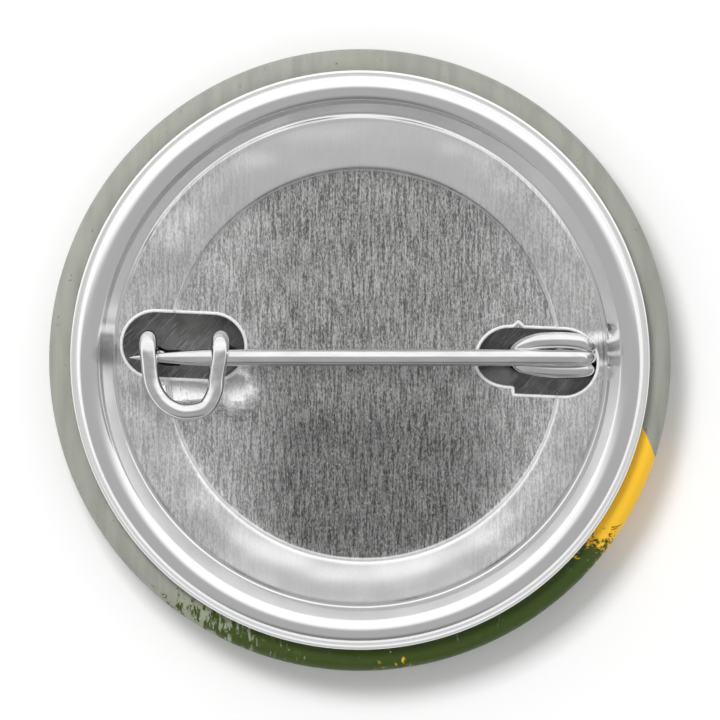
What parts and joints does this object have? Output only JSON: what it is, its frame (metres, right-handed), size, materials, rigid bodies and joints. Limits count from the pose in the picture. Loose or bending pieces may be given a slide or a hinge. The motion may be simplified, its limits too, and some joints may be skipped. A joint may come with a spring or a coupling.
{
  "type": "button badge",
  "caption": "Round domed button badge with a wrapped printed face, a stamped metal back plate and a spring-wire pin that opens from its catch.",
  "frame": {"origin": "centre of the lowest point of the domed face, which the badge lies on", "axes": "+Z out of the back, from the face towards the pin; X along the pin, from the catch (-X) to the coil (+X); +Y across the pin, towards the catch's risers"},
  "size_m": [0.032, 0.032, 0.0063],
  "materials": {
    "clear_film": "glossy clear film",
    "printed_artwork": "printed paper: warm grey with yellow and dark green areas",
    "front_shell": "plain tinplate",
    "back_plate": "bright rolled tinplate with a brushed centre disc",
    "spring_wire": "bright plated spring wire",
    "pin_arm": "bright plated spring wire with a ground point"
  },
  "bodies": {
    "badge": {"clear_film": "clear_film", "printed_artwork": "printed_artwork", "front_shell": "front_shell", "back_plate": "back_plate", "spring_wire": "spring_wire"},
    "pin": {"pin_arm": "pin_arm"}
  },
  "joints": [
    {"name": "pin_open", "type": "hinge", "parent": "badge", "child": "pin", "pos_m": [0.0098, 0.00012, 0.00473], "axis": [-0.8649, -0.0499, 0.4994], "range_deg": [0, 120]}
  ]
}
